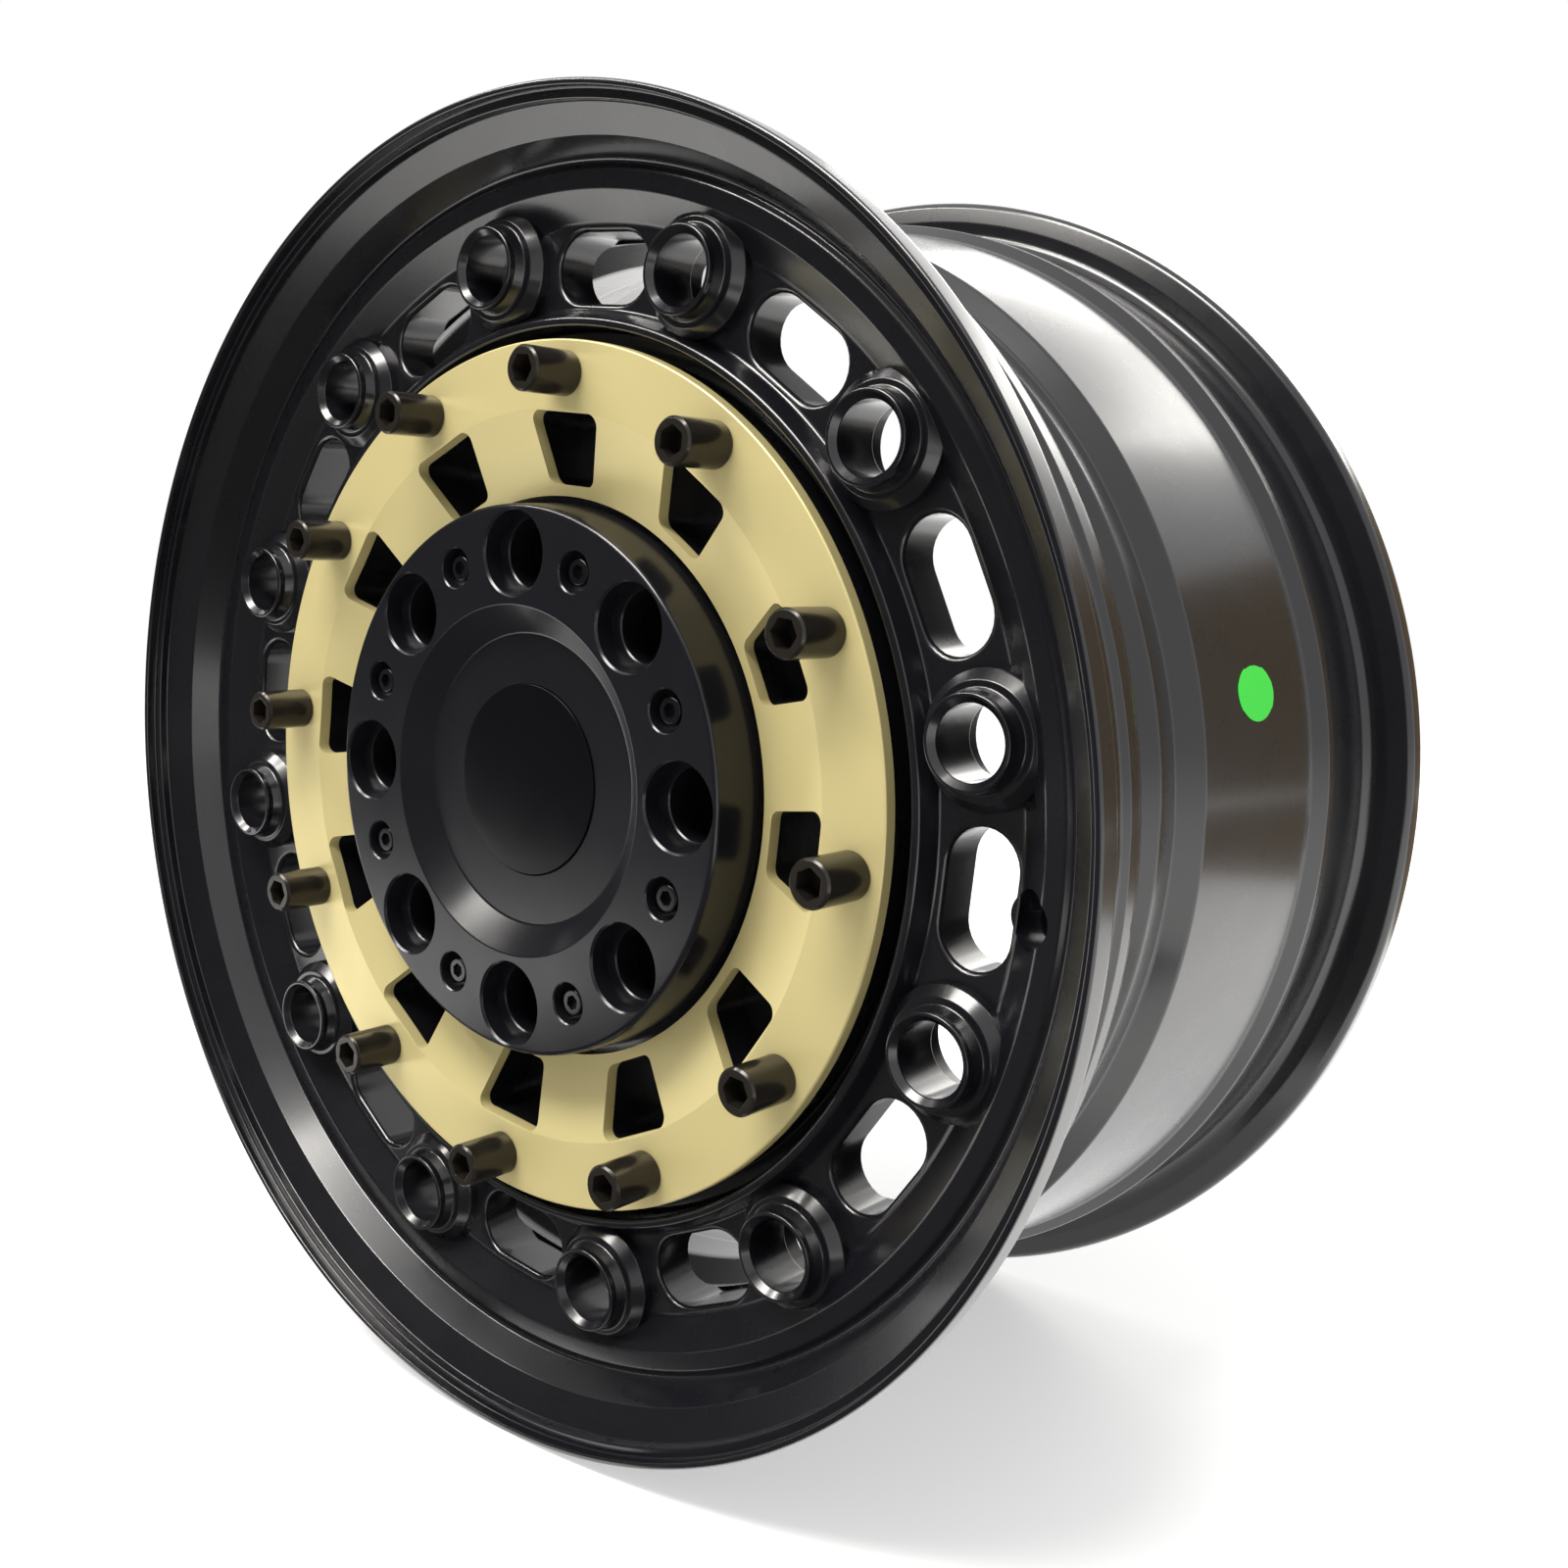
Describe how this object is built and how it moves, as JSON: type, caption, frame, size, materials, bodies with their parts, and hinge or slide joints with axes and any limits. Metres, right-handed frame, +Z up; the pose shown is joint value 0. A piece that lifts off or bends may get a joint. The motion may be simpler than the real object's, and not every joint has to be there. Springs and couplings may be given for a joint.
{
  "type": "car wheel",
  "caption": "Black cast off-road wheel with a deep stepped lip, hollow round bosses, obround windows, a sand-coloured bolted ring with tapered windows, and a bolted centre cap",
  "frame": {"origin": "on the wheel's axis, halfway between the rim's two ends", "axes": "the wheel turns about Y and stands upright with +Z up; its face looks towards -Y and its hub side towards +Y"},
  "size_m": [0.498, 0.2556, 0.498],
  "materials": {
    "black_paint": "cast aluminium with satin black paint",
    "sand_paint": "aluminium plate with sand satin paint",
    "black_steel": "black oxide steel, semi-gloss",
    "cap_paint": "machined aluminium with satin black paint",
    "insert_gloss": "gloss black domed plastic"
  },
  "bodies": {
    "root": {"wheel_casting": "black_paint", "centre_ring": "sand_paint", "ring_studs": "black_steel", "centre_cap": "cap_paint", "cap_insert": "insert_gloss", "cap_screws": "black_steel"}
  },
  "joints": []
}
